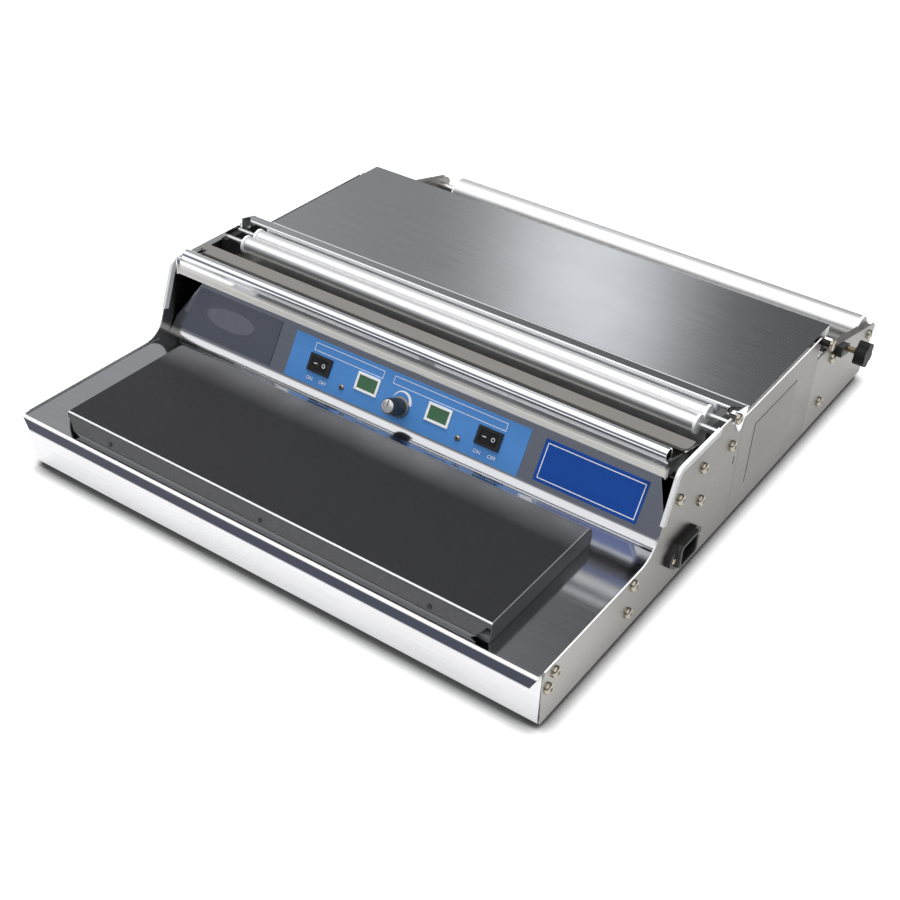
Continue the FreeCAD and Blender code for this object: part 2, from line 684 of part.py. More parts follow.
def shoulder_screw(head_start):
    shank = rod_x(POST_X, head_start, PIVOT_Y, PIVOT_Z, PIVOT_RADIUS)
    head = head_x(head_start, head_start + PIVOT_HEAD_THICK, PIVOT_Y, PIVOT_Z, PIVOT_HEAD_RADIUS)
    return shank.fuse(head).removeSplitter()


def rear_bracket():
    start = REAR_FOOT_Y - BRACKET_LENGTH
    end = REAR_FOOT_Y - 4
    outline = [(start, PAN_TOP), (start, slope_z(start)), (REAR_TIP_Y - 2, REAR_TIP_Z + 0.5)]
    over = PAN_TOP + REAR_WALL + 1
    outline += [(REAR_END_Y - 1, REAR_END_Z), (REAR_FOOT_Y + 6, over), (end, over), (end, PAN_TOP)]
    plate = slab_x(outline, [0, 0, 4, 3, 0, 0, 0], BRACKET_X, BRACKET_X + SIDE_SHEET)
    foot = box(BRACKET_X - 9, BRACKET_X + SIDE_SHEET, start, end, PAN_TOP, PAN_TOP + SIDE_SHEET)
    plate = plate.fuse(foot).removeSplitter()
    outer = BRACKET_X + SIDE_SHEET + 1
    for y in (REAR_ROLLER_Y, REAR_ROLLER_Y - CRADLE_PITCH):
        plate = plate.cut(rod_x(BRACKET_X - 1, outer, y, REAR_ROLLER_Z, REAR_SHAFT_RADIUS))
    return plate


def cradle_shaft(y):
    return rod_x(-INNER_FACE, INNER_FACE, y, REAR_ROLLER_Z, REAR_SHAFT_RADIUS)


def hot_plate_skin():
    path = [(PLATE_FOOT_Y, PLATE_FOOT_Z), (PLATE_FRONT_Y, PLATE_TOP)]
    path += [(PLATE_REAR_Y, PLATE_TOP), (PLATE_REAR_Y, FRAME_TOP)]
    skin = ribbon(path, 0, PLATE_SKIN, [0.6, 7.0], -PLATE_HALF, PLATE_HALF)
    middle = PLATE_TOP - PLATE_SKIN / 2
    rear = PLATE_REAR_Y - 0.5
    skirt = [(PLATE_FRONT_Y - 0.5, 0.4), (PLATE_FRONT_Y + 1.5, middle), (rear - 4.5, middle)]
    skirt += [(rear, 10), (rear, 0.4)]
    side = slab_x(skirt, square(skirt), PLATE_HALF - PLATE_SKIN, PLATE_HALF)
    inner = PLATE_HALF - PLATE_MITRE
    outer = PLATE_HALF + 1
    top = PLATE_TOP - 0.5
    mitre = [(PLATE_HALF, top), (inner, PLATE_FOOT_Z), (inner, 0), (outer, 0), (outer, top)]
    corner = slab_y(mitre, square(mitre), 0, PLATE_FRONT_Y - 0.5)
    skin = skin.cut(corner).cut(flip(corner))
    return skin.fuse(side).fuse(flip(side)).removeSplitter()


def hot_plate_frame():
    frame = box(-FRAME_HALF, FRAME_HALF, PLATE_FRONT_Y + 2, PLATE_REAR_Y - PLATE_SKIN, 0, FRAME_TOP)
    half = PLATE_HALF - FRAME_BORDER
    return frame.cut(box(-half, half, PLATE_FRONT_Y + 30, PLATE_REAR_Y - 32.2, -1, FRAME_TOP + 1))


def heating_element():
    half = PLATE_HALF - ELEMENT_INSET
    return box(-half, half, PLATE_FRONT_Y + 10, PLATE_REAR_Y - 14.2, BOARD_TOP, PLATE_TOP - PLATE_SKIN)


def insulation_board():
    half = PLATE_HALF - BOARD_INSET
    return box(-half, half, PLATE_FRONT_Y + 6, PLATE_REAR_Y - 10.2, FRAME_TOP, BOARD_TOP)


def small_screws():
    pieces = []
    for x in (-PANEL_SCREW_X, PANEL_SCREW_X):
        pieces.append(on_panel(head_z(LABEL_THICK, LABEL_THICK + 1.4, 2.6, HEAD_SIDES), x, PANEL_SCREW_S))
    face = HALF_WIDTH + INLET_PROUD
    for side in (-1, 1):
        pieces.append(head_x(face, face + 1.4, INLET_Y + side * INLET_SCREW_REACH, INLET_Z, 2.6))
    rise = PLATE_TOP - PLATE_FOOT_Z
    lean = math.degrees(math.atan2(rise, PLATE_FRONT_Y - PLATE_FOOT_Y))
    up = PLATE_SCREW_RISE
    for x in (-PLATE_SCREW_X, 0, PLATE_SCREW_X):
        head = head_z(0, 0.8, 1.8, HEAD_SIDES)
        head.rotate(vec(0, 0, 0), vec(1, 0, 0), lean)
        head.translate(vec(x, PLATE_FOOT_Y + up / math.tan(math.radians(lean)), PLATE_FOOT_Z + up))
        pieces.append(head)
    return Part.makeCompound(pieces)


def panel_sheet(outline, radii, z0, z1):
    return on_panel(slab_z(outline, radii, z0, z1), 0, 0)


def control_label():
    a = LABEL_HALF
    label = panel_sheet([(-a, -0.4), (a, -0.4), (a, LABEL_TOP_S), (-a, LABEL_TOP_S)], [0] * 4, 0, LABEL_THICK)
    for x in (-ROCKER_X, ROCKER_X):
        label = label.cut(on_panel(block(ROCKER_LENGTH - 2, ROCKER_WIDTH - 2, -5, 5), x, ROCKER_S))
    for x in (-WINDOW_X, WINDOW_X):
        label = label.cut(on_panel(block(WINDOW_LENGTH - 2, WINDOW_WIDTH - 2, -5, 5), x, WINDOW_S))
    return label.cut(on_panel(rod_z(0, 0, -5, 5, SPINDLE_RADIUS + 1), 0, DIAL_S))


def right_label():
    a = RIGHT_LABEL_START
    b = RIGHT_LABEL_END
    return panel_sheet([(a, 3), (b, 3), (b, 36.5), (a, 36.5)], [0] * 4, 0, LABEL_THICK)


def left_plate():
    low = PANEL_LOW_HALF - 2
    high = low - (40 - PANEL_LOW_S) * PANEL_TAPER
    outline = [(-low, 0.5), (LEFT_PLATE_END, 0.5), (LEFT_PLATE_END, 40), (-high, 40), (-low, PANEL_LOW_S)]
    return panel_sheet(outline, [0] * 5, 0, 0.8)


def oval_plate():
    points = [(OVAL_HALF_LENGTH * a, OVAL_HALF_WIDTH * b) for a, b in many_sided(1, 2 * ROUND_SIDES)]
    return on_panel(slab_z(points, square(points), 0.8, 1.4), OVAL_X, OVAL_S)


def rating_plate():
    front = RATING_FRONT_Y
    rear = RATING_REAR_Y
    outline = [(front, RATING_LOW_Z), (rear, RATING_LOW_Z), (rear, RATING_HIGH_Z), (front, RATING_HIGH_Z)]
    return slab_x(outline, square(outline), HALF_WIDTH, HALF_WIDTH + LABEL_THICK)


def rocker_housing():
    bezel = block(ROCKER_LENGTH, ROCKER_WIDTH, LABEL_THICK, 2.4)
    body = block(ROCKER_LENGTH - 2, ROCKER_WIDTH - 2, -14, LABEL_THICK)
    well = box(-7.9, 7.9, -5.0, 5.0, -8, 3)
    pivots = Part.makeCylinder(1.2 + RUNNING, 12, vec(0, -6, 0.4), vec(0, 1, 0))
    return bezel.fuse(body).cut(well).cut(pivots).removeSplitter()


def rocker():
    profile = [(-7.1, 2.9), (0, 1.3), (7.1, 2.9), (6.4, -1.5), (3.5, -4.5), (-3.5, -4.5), (-6.4, -1.5)]
    key = slab_y(profile, [0, 4, 0, 0, 0, 0, 0], -4.7, 4.7)
    pin = Part.makeCylinder(1.2, 11.4, vec(0, -5.7, 0.4), vec(0, 1, 0))
    key = key.fuse(pin).removeSplitter()
    key.rotate(vec(0, 0, 0.4), vec(0, 1, 0), ROCKER_REST_TILT)
    return key


def window_bezel():
    bezel = block(WINDOW_LENGTH, WINDOW_WIDTH, LABEL_THICK, 1.2)
    body = block(WINDOW_LENGTH - 2, WINDOW_WIDTH - 2, -12, LABEL_THICK)
    pocket = block(WINDOW_LENGTH - 4.2, WINDOW_WIDTH - 4.2, -4, 3)
    return bezel.fuse(body).cut(pocket).removeSplitter()


def window_lens():
    return block(WINDOW_LENGTH - 4.2, WINDOW_WIDTH - 4.2, -4, 0.9)


def temp_knob():
    low = LABEL_THICK + 0.5
    knob = head_z(low, DIAL_SKIRT_TOP, DIAL_SKIRT_RADIUS, ROUND_SIDES)
    knob = knob.fuse(head_z(DIAL_SKIRT_TOP, DIAL_HEIGHT, DIAL_RADIUS, ROUND_SIDES))
    return knob.fuse(rod_z(0, 0, -9, low, SPINDLE_RADIUS)).removeSplitter()


def knob_cap():
    return head_z(DIAL_HEIGHT, DIAL_HEIGHT + DIAL_CAP_THICK, DIAL_CAP_RADIUS, ROUND_SIDES)


def dial_body():
    body = block(18, 18, -14, -SHEET)
    return body.cut(rod_z(0, 0, -9, 2, SPINDLE_RADIUS + RUNNING))


def inlet_body():
    x0 = HALF_WIDTH
    outline = []
    for y, z in ((-25, -4), (-15, -11.5), (15, -11.5), (25, -4), (25, 4), (15, 11.5), (-15, 11.5), (-25, 4)):
        outline.append((INLET_Y + y, INLET_Z + z))
    flange = slab_x(outline, [1.5] * 8, x0, x0 + INLET_PROUD)
    body = box(x0 - 22, x0, INLET_Y - 14, INLET_Y + 14, INLET_Z - 10, INLET_Z + 10)
    socket = box(x0 - 17, x0 + 10, INLET_Y - 12, INLET_Y + 12, INLET_Z - 8, INLET_Z + 8)
    return flange.fuse(body).cut(socket).removeSplitter()


def inlet_pins():
    pins = []
    for i in range(3):
        y = INLET_Y + (i - 1) * 7
        z = INLET_Z + (2 if i == 1 else -2)
        pins.append(box(HALF_WIDTH - 17, HALF_WIDTH - 1, y - 1, y + 1, z - 2, z + 2))
    return Part.makeCompound(pins)


def star_knob():
    points = []
    for i in range(STAR_LOBES * 6):
        turn = 2 * math.pi * i / (STAR_LOBES * 6)
        reach = STAR_RADIUS - STAR_GROOVE * max(0.0, math.cos(STAR_LOBES * turn))
        points.append((STUD_Y + reach * math.cos(turn), STUD_Z + reach * math.sin(turn)))
    return slab_x(points, square(points), STAR_FRONT_X, STAR_END_X)


def stud_block():
    front = STUD_Y - 14
    rear = STUD_Y + 5
    outline = [(front, STUD_Z - 3), (rear, STUD_Z - 7), (rear, STUD_Z + 2.5), (front, STUD_Z + 7)]
    clamp = slab_x(outline, square(outline), HALF_WIDTH, HALF_WIDTH + 5.5)
    return clamp.cut(rod_x(HALF_WIDTH - 1, HALF_WIDTH + 9, STUD_Y, STUD_Z, STUD_RADIUS + RUNNING))


def side_screws():
    pieces = []
    for y, z in front_screw_places() + rear_screw_places() + [(REAR_ROLLER_Y, REAR_ROLLER_Z)]:
        pieces.append(head_x(HALF_WIDTH, HALF_WIDTH + SCREW_HEAD_HEIGHT, y, z, SCREW_HEAD_RADIUS))
    face = HALF_WIDTH + SIDE_SHEET
    pieces.append(head_x(face, face + SCREW_HEAD_HEIGHT, EAR_SCREW_Y, EAR_SCREW_Z, SCREW_HEAD_RADIUS))
    return Part.makeCompound(pieces + [flip(piece) for piece in pieces])


def feet():
    pieces = []
    for x in (-FOOT_X, FOOT_X):
        for y in (FOOT_FRONT_Y, FOOT_REAR_Y):
            foot = head_z(FLOOR_Z, PAN_BOTTOM, FOOT_RADIUS, ROUND_SIDES)
            foot.translate(vec(x, y, 0))
            pieces.append(foot)
    return Part.makeCompound(pieces)


def transformer():
    x = TRANSFORMER_X
    y = TRANSFORMER_Y
    top = PAN_TOP + CORE_HEIGHT
    left = x - CORE_HALF_LENGTH
    right = x + CORE_HALF_LENGTH
    core = box(left, right, y - CORE_HALF_DEPTH, y + CORE_HALF_DEPTH, PAN_TOP, top)
    left = x - COIL_HALF_LENGTH
    right = x + COIL_HALF_LENGTH
    low = PAN_TOP + CORE_LIMB
    coil = box(left, right, y - COIL_HALF_DEPTH, y + COIL_HALF_DEPTH, low, top - CORE_LIMB)
    return Part.makeCompound([core.cut(coil), coil])


def control_board():
    low = PAN_TOP + CONTROL_RISE
    top = low + CONTROL_THICK
    front = CONTROL_FRONT_Y
    rear = CONTROL_REAR_Y
    board = box(-CONTROL_HALF_LENGTH, CONTROL_HALF_LENGTH, front, rear, low, top)
    reach = PILLAR_HALF
    pillar_x = CONTROL_HALF_LENGTH - PILLAR_INSET
    for x in (-pillar_x, pillar_x):
        for y in (front + PILLAR_INSET, rear - PILLAR_INSET):
            board = board.fuse(box(x - reach, x + reach, y - reach, y + reach, PAN_TOP, low))
    board = board.fuse(box(-45, -20, front + 15, rear - 20, top, top + 16))
    board = board.fuse(box(0, 30, front + 10, front + 26, top, top + 20))
    return board.removeSplitter()


def main():
    os.makedirs("parts", exist_ok=True)
    save("base_pan", base_pan())
    save("front_panel", front_panel())
    save("deck_panel", deck_panel())
    save("side_plate_right", side_plate_right())
    save("side_plate_left", flip(side_plate()))
    save("side_cover_right", side_cover())
    save("side_cover_left", flip(side_cover()))
    save("rear_side_right", rear_side_right())
    save("rear_side_left", flip(rear_side()))
    save("edge_trims", both(edge_trim()))
    save("roller_shelf", roller_shelf())
    save("hood", hood())
    save("hood_brackets", both(hood_bracket()))
    save("cutter_strip", cutter_strip())
    save("heater_ribbon", heater_ribbon())
    save("cutter_bar", cutter_bar())
    save("cutter_terminals", both(cutter_terminal()))
    save("front_roller_blocks", both(front_roller_block()))
    shafts = []
    for i, letter in enumerate("ab"):
        y = FRONT_ROLLER_Y + i * FRONT_ROLLER_PITCH
        bore = FRONT_ROLLER_RADIUS - TUBE_WALL
        tube = roller_tube(y, FRONT_ROLLER_Z, FRONT_ROLLER_RADIUS, FRONT_LEFT_X, FRONT_RIGHT_X, bore)
        save("front_roller_" + letter + "_tube", tube)
        save("front_roller_" + letter + "_caps", front_caps(y))
        end = INNER_FACE - TRIM_WALL
        shafts.append(rod_x(-end, end, y, FRONT_ROLLER_Z, FRONT_SHAFT_RADIUS))
    save("front_roller_shafts", Part.makeCompound(shafts))
    bore = REAR_ROLLER_RADIUS - TUBE_WALL
    save("rear_roller_tube", rear_tube(REAR_ROLLER_Y, bore))
    save("rear_roller_caps", rear_caps())
    cradle_y = REAR_ROLLER_Y - CRADLE_PITCH
    bore = REAR_SHAFT_RADIUS + RUNNING
    save("cradle_roller_tube", rear_tube(cradle_y, bore))
    save("cradle_shafts", Part.makeCompound([cradle_shaft(REAR_ROLLER_Y), cradle_shaft(cradle_y)]))
    save("cross_strip", cross_strip())
    save("cover_plate", cover_plate())
    save("cover_posts", both(cover_post()))
    right = shoulder_screw(HALF_WIDTH + PIVOT_HEAD_PROUD)
    left = flip(shoulder_screw(COVER_HALF + RUNNING))
    save("shoulder_screws", Part.makeCompound([right, left]))
    save("rear_brackets", both(rear_bracket()))
    save("hot_plate_skin", hot_plate_skin())
    save("heating_element", heating_element())
    save("insulation_board", insulation_board())
    save("hot_plate_frame", hot_plate_frame())
    save("small_screws", small_screws())
    save("control_label", control_label())
    save("right_label", right_label())
    save("left_plate", left_plate())
    save("oval_plate", oval_plate())
    save("rating_plate", rating_plate())
    save("rocker_housings", pair_on_panel(rocker_housing(), ROCKER_X, ROCKER_S))
    save("rocker_left", on_panel(rocker(), -ROCKER_X, ROCKER_S))
    save("rocker_right", on_panel(rocker(), ROCKER_X, ROCKER_S))
    save("window_bezels", pair_on_panel(window_bezel(), WINDOW_X, WINDOW_S))
    save("window_lenses", pair_on_panel(window_lens(), WINDOW_X, WINDOW_S))
    save("temp_knob", on_panel(temp_knob(), 0, DIAL_S))
    save("knob_cap", on_panel(knob_cap(), 0, DIAL_S))
    save("dial_body", on_panel(dial_body(), 0, DIAL_S))
    save("inlet_body", inlet_body())
    save("inlet_pins", inlet_pins())
    save("star_knob", star_knob())
    save("knob_stud", rod_x(INNER_FACE - 3, STAR_FRONT_X, STUD_Y, STUD_Z, STUD_RADIUS))
    save("stud_block", stud_block())
    save("side_screws", side_screws())
    save("feet", feet())
    save("transformer", transformer())
    save("control_board", control_board())


main()
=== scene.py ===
import bpy
import json
import math
from mathutils import Matrix, Vector


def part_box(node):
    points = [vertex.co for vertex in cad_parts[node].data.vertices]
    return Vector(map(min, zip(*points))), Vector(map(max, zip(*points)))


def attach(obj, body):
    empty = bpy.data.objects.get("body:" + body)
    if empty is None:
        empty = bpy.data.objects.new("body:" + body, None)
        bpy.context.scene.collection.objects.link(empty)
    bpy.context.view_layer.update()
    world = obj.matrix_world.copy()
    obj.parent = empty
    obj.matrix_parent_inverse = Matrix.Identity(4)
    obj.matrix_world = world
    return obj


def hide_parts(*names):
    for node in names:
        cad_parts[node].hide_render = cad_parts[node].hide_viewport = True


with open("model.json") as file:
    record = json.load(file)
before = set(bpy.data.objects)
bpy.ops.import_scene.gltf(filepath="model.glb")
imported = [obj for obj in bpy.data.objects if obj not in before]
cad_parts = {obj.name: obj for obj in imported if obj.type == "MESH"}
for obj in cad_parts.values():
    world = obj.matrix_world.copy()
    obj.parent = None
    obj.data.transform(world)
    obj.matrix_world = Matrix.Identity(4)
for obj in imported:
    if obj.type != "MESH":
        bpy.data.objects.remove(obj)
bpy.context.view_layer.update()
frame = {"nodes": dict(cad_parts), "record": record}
NODES = frame["nodes"]
NODE_SLOTS = {entry["node"]: entry["material_slot"] for entry in frame["record"]["subparts"]}
scene = bpy.context.scene
scene.view_settings.view_transform = "Standard"

# The machine's own axes start at its middle plane, its front lip and its deck's top
MM = 0.001
ORIGIN = {
    "x": sum(corner[0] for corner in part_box("front_panel")) / 2,
    "y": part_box("deck_panel")[0][1],
    "z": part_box("hot_plate_frame")[0][2],
}
PANEL_FOOT_Y = 170
PANEL_FOOT_Z = 6
PANEL_SLOPE = math.radians(60)
TURN_PANEL = Matrix.Rotation(PANEL_SLOPE, 4, "X")


def at(x, y, z):
    """Point of the frame, in metres, from a place in machine mm."""
    return Vector((ORIGIN["x"] + x * MM, ORIGIN["y"] + y * MM, ORIGIN["z"] + z * MM))


def on_panel(x, s, h):
    """Point s mm up the sloped panel from its foot, and h mm off its face."""
    y = PANEL_FOOT_Y + s * math.cos(PANEL_SLOPE) - h * math.sin(PANEL_SLOPE)
    z = PANEL_FOOT_Z + s * math.sin(PANEL_SLOPE) + h * math.cos(PANEL_SLOPE)
    return at(x, y, z)


def machine_box(node):
    """Lowest and highest corners of a node, in machine mm."""
    starts = list(ORIGIN.values())
    return [[(value - start) / MM for value, start in zip(corner, starts)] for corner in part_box(node)]


# Shader helpers
class Tree:
    """Short calls that add nodes to one node tree and return their output."""

    def __init__(self, tree):
        self.tree = tree
        self.links = tree.links

    def node(self, kind, **values):
        made = self.tree.nodes.new(kind)
        for key, value in values.items():
            setattr(made, key, value)
        return made

    def put(self, socket, value):
        if isinstance(value, bpy.types.NodeSocket):
            self.links.new(value, socket)
        elif socket.type == "RGBA" and len(value) == 3:
            socket.default_value = (*value, 1)
        else:
            socket.default_value = value

    def math(self, operation, a, b=0.0, c=0.0):
        made = self.node("ShaderNodeMath", operation=operation)
        for socket, value in zip(made.inputs, (a, b, c)):
            self.put(socket, value)
        return made.outputs[0]

    def mix(self, factor, a, b):
        made = self.node("ShaderNodeMix", data_type="RGBA")
        self.put(made.inputs[0], factor)
        self.put(made.inputs[6], a)
        self.put(made.inputs[7], b)
        return made.outputs[2]

    def ramp(self, value, low, high, out_low=0.0, out_high=1.0, smooth=False):
        kind = "SMOOTHSTEP" if smooth else "LINEAR"
        made = self.node("ShaderNodeMapRange", clamp=True, interpolation_type=kind)
        for socket, number in zip(made.inputs[:5], (value, low, high, out_low, out_high)):
            self.put(socket, number)
        return made.outputs[0]

    def near(self, value, centre, full, gone):
        """One up to full away from the centre, falling to nought at gone."""
        away = self.math("ABSOLUTE", self.math("SUBTRACT", value, centre))
        return self.ramp(away, full, gone, 1.0, 0.0, True)

    def split(self, socket):
        made = self.node("ShaderNodeSeparateXYZ")
        self.links.new(socket, made.inputs[0])
        return made.outputs

    def noise(self, scale, detail=3.0, stretch=(1, 1, 1), rough=0.5):
        coords = self.node("ShaderNodeTexCoord")
        scaled = self.node("ShaderNodeMapping")
        self.links.new(coords.outputs["Object"], scaled.inputs["Vector"])
        scaled.inputs["Scale"].default_value = stretch
        made = self.node("ShaderNodeTexNoise")
        self.links.new(scaled.outputs[0], made.inputs["Vector"])
        made.inputs["Scale"].default_value = scale
        made.inputs["Detail"].default_value = detail
        made.inputs["Roughness"].default_value = rough
        return made.outputs[0]

    def bump(self, height, strength, distance):
        made = self.node("ShaderNodeBump")
        made.inputs["Strength"].default_value = strength
        made.inputs["Distance"].default_value = distance
        self.links.new(height, made.inputs["Height"])
        return made


CLOUD_SCALE = 9.0
CLOUD_SHARE = 0.25
CLOUD_TONE = 0.9
FINE_ROUGHNESS_SHARE = 0.6
COAT_ROUGHNESS = 0.08


def grained_colour(tree, base, tone, fine, clouds):
    """Base colour, lighter and darker by tone in its fine grain, under wide and slightly darker clouds."""
    dark = tuple(max(0.0, c * (1 - tone)) for c in base)
    light = tuple(min(1.0, c * (1 + tone)) for c in base)
    grained = tree.mix(tree.ramp(fine, 0.3, 0.7), dark, light)
    clouded = tree.ramp(clouds, 0.35, 0.65, 0.0, CLOUD_SHARE)
    return tree.mix(clouded, grained, tuple(c * CLOUD_TONE for c in base))


def surface_normal(tree, shader, fine, bump, depth, edge):
    """Fine bump over softened edges, where the surface has them."""
    normal = None
    if edge > 0:
        softened = tree.node("ShaderNodeBevel", samples=4)
        softened.inputs["Radius"].default_value = edge
        normal = softened.outputs[0]
    if bump > 0:
        grain = tree.bump(fine, bump, depth)
        if normal is not None:
            tree.links.new(normal, grain.inputs["Normal"])
        normal = grain.outputs[0]
    if normal is not None:
        tree.links.new(normal, shader.inputs["Normal"])


def material(name, base, rough, metallic=0.0, spread=0.06, tone=0.06, grain=600.0, stretch=(1, 1, 1),
             bump=0.05, depth=0.0002, spec=0.5, coat=0.0, edge=0.0, paint_light_and_shade=None, paint_bright_line=None):
    """Finish with grain and clouds. Its light-and-shade hook recolours it with painted light and shade, and
    its bright-line hook returns a painted highlight and its tint.
    """
    made = bpy.data.materials.new(name)
    made.use_nodes = True
    tree = Tree(made.node_tree)
    shader = made.node_tree.nodes["Principled BSDF"]
    fine = tree.noise(grain, 3.0, stretch)
    clouds = tree.noise(CLOUD_SCALE, 3.0, rough=0.6)
    colour = grained_colour(tree, base, tone, fine, clouds)
    if paint_light_and_shade is not None:
        colour = paint_light_and_shade(tree, colour)
    if paint_bright_line is None:
        shader.inputs["Metallic"].default_value = metallic
    else:
        # Painted highlight: the bright line is a pale tint that scatters the light, the rest mirrors it
        line, tint = paint_bright_line(tree)
        colour = tree.mix(line, colour, tint)
        tree.put(shader.inputs["Metallic"], tree.ramp(line, 0.0, 1.0, metallic, 0.0))
    tree.put(shader.inputs["Base Color"], colour)
    uneven = tree.math("MULTIPLY", fine, FINE_ROUGHNESS_SHARE)
    uneven = tree.math("MULTIPLY_ADD", clouds, 1 - FINE_ROUGHNESS_SHARE, uneven)
    smoothest = max(0.02, rough - spread)
    tree.put(shader.inputs["Roughness"], tree.ramp(uneven, 0.3, 0.7, smoothest, rough + spread))
    shader.inputs["Specular IOR Level"].default_value = spec
    shader.inputs["Coat Weight"].default_value = coat
    shader.inputs["Coat Roughness"].default_value = COAT_ROUGHNESS
    surface_normal(tree, shader, fine, bump, depth, edge)
    return made


# Places of painted light and shade: spans along the machine's axes, each (low, high, soft edge) in mm
LIP_FACE = dict(y=(-10, 1.1, 0.1), z=(-11.2, -1.4, 0.3))
LIP_CREST = dict(y=(-10, 2.2, 0.6), z=(-1.6, 1.0, 0.3))
LIP_FOOT = dict(y=(-10, 1.1, 0.1), z=(-13.5, -11.2, 0.2))
PLATE_FRONT_FOLD = dict(y=(9.9, 11.2, 0.2), z=(15.7, 20, 0.3))
PLATE_SIDE_FOLD = dict(x=(197.4, 200, 0.2), z=(16.3, 20, 0.2))
PLATE_SKIRT = dict(y=(0, 9.6, 0.2))
PLATE_FLANK = dict(x=(190, 210, 0.3), z=(0, 15.8, 0.3))
PLATE_REAR = dict(y=(124, 150, 17))
HOOD_FLARE = dict(y=(165, 176.2, 0.4), z=(57.2, 65.5, 1.2))
# The painted sheen on the side plates fades out between these two places, in mm from the lip
SHEEN_START = 20
SHEEN_END = 200


def along(tree, axis):
    """Place of the shaded point along one axis of the frame."""
    coords = tree.node("ShaderNodeTexCoord")
    return tree.split(coords.outputs["Object"])["xyz".index(axis)]


def patch(tree, **spans):
    """One inside all the spans, and nought outside them."""
    inside = 1.0
    for axis, (low, high, soft) in spans.items():
        place = along(tree, axis)
        zero = ORIGIN[axis]
        rise = tree.ramp(place, zero + (low - soft) * MM, zero + (low + soft) * MM)
        fall = tree.ramp(place, zero + (high - soft) * MM, zero + (high + soft) * MM, 1.0, 0.0)
        inside = tree.math("MULTIPLY", inside, tree.math("MULTIPLY", rise, fall))
    return inside


def lip_painted_shade(tree, colour):
    """Painted dark reflection: the lip's face is coloured dark, as the dark of the room would show in it.
    """
    return tree.mix(patch(tree, **LIP_FACE), colour, (0.055, 0.06, 0.085))


def lip_painted_highlights(tree):
    """Painted highlights: a bright line over the lip's crest, and a fainter one along its foot."""
    foot = tree.math("MULTIPLY", patch(tree, **LIP_FOOT), 0.7)
    return tree.math("MAXIMUM", patch(tree, **LIP_CREST), foot), (0.9, 0.9, 0.88)


def upturned_face_highlights(tree):
    """Painted highlight: faces of the upright sheets that turn upward, such as their upper edges, are
    painted pale and not mirrored.
    """
    shape = tree.node("ShaderNodeNewGeometry")
    upward = tree.split(shape.outputs["True Normal"])["Z"]
    return tree.ramp(upward, 0.3, 0.6), (0.85, 0.85, 0.84)


def side_front_sheen(tree, colour):
    """Painted sheen: the side plates are painted brighter towards their front ends."""
    start = ORIGIN["y"] + SHEEN_START * MM
    end = ORIGIN["y"] + SHEEN_END * MM
    front_sheen_share = tree.ramp(along(tree, "y"), start, end, 1.0, 0.0)
    return tree.mix(front_sheen_share, colour, (0.42, 0.41, 0.39))


def plate_painted_light(tree, colour):
    """Painted light: the hot plate's skirt and flank painted paler with a speckle, a patchy painted sheen
    near its rear, and thin painted highlights over its folds.
    """
    skirt = tree.math("MAXIMUM", patch(tree, **PLATE_SKIRT), patch(tree, **PLATE_FLANK))
    skirt_light = tree.math("MULTIPLY", skirt, tree.noise(1300.0, 2.0))
    colour = tree.mix(skirt_light, colour, (0.17, 0.17, 0.175))
    # Painted sheen along the rear edge, patchy with noise
    rear_sheen = tree.math("MULTIPLY", patch(tree, **PLATE_REAR), tree.noise(14.0, 2.0))
    colour = tree.mix(rear_sheen, colour, (0.24, 0.24, 0.25))
    side_fold = tree.math("MULTIPLY", patch(tree, **PLATE_SIDE_FOLD), 0.3)
    line = tree.math("MAXIMUM", patch(tree, **PLATE_FRONT_FOLD), side_fold)
    return tree.mix(line, colour, (0.75, 0.75, 0.76))


def hood_highlight(tree):
    """Painted highlight: pale band where the polished hood flares under its bead."""
    return tree.math("MULTIPLY", patch(tree, **HOOD_FLARE), 0.85), (0.88, 0.86, 0.79)


